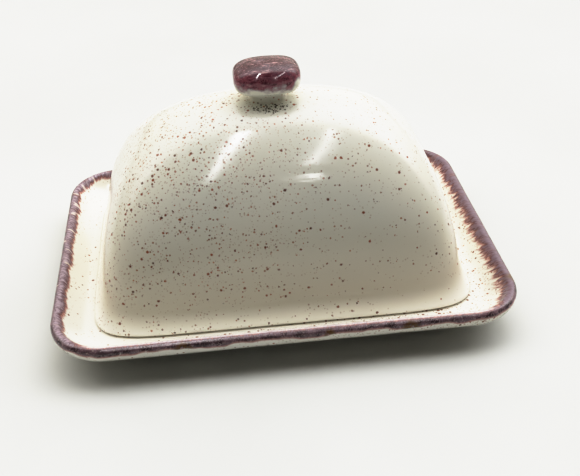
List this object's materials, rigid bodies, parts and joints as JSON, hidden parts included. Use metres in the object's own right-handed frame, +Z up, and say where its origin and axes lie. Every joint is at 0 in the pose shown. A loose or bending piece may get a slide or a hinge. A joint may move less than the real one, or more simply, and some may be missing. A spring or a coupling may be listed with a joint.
{
  "type": "covered butter dish",
  "caption": "Oblong stoneware butter dish: a shallow rimmed tray, a loose domed cover and a pebble-shaped knob.",
  "frame": {"origin": "the middle of the plane that the tray's foot stands on", "axes": "+X along the dish, +Y to its back, +Z up"},
  "size_m": [0.19, 0.139, 0.1],
  "materials": {
    "tray_glaze": "glossy cream glaze with fine brown specks and a feathered mulberry band round the rim",
    "cover_glaze": "glossy off-white glaze with reddish-brown specks of many sizes",
    "knob_glaze": "glossy plum glaze with pale brushed streaks, cream below an uneven edge"
  },
  "bodies": {
    "tray": {"tray": "tray_glaze"},
    "cover": {"cover": "cover_glaze", "knob": "knob_glaze"}
  },
  "joints": [
    {"name": "cover_lift", "type": "slide", "parent": "tray", "child": "cover", "axis": [0, 0, 1], "range_m": [0, 0.12]}
  ]
}
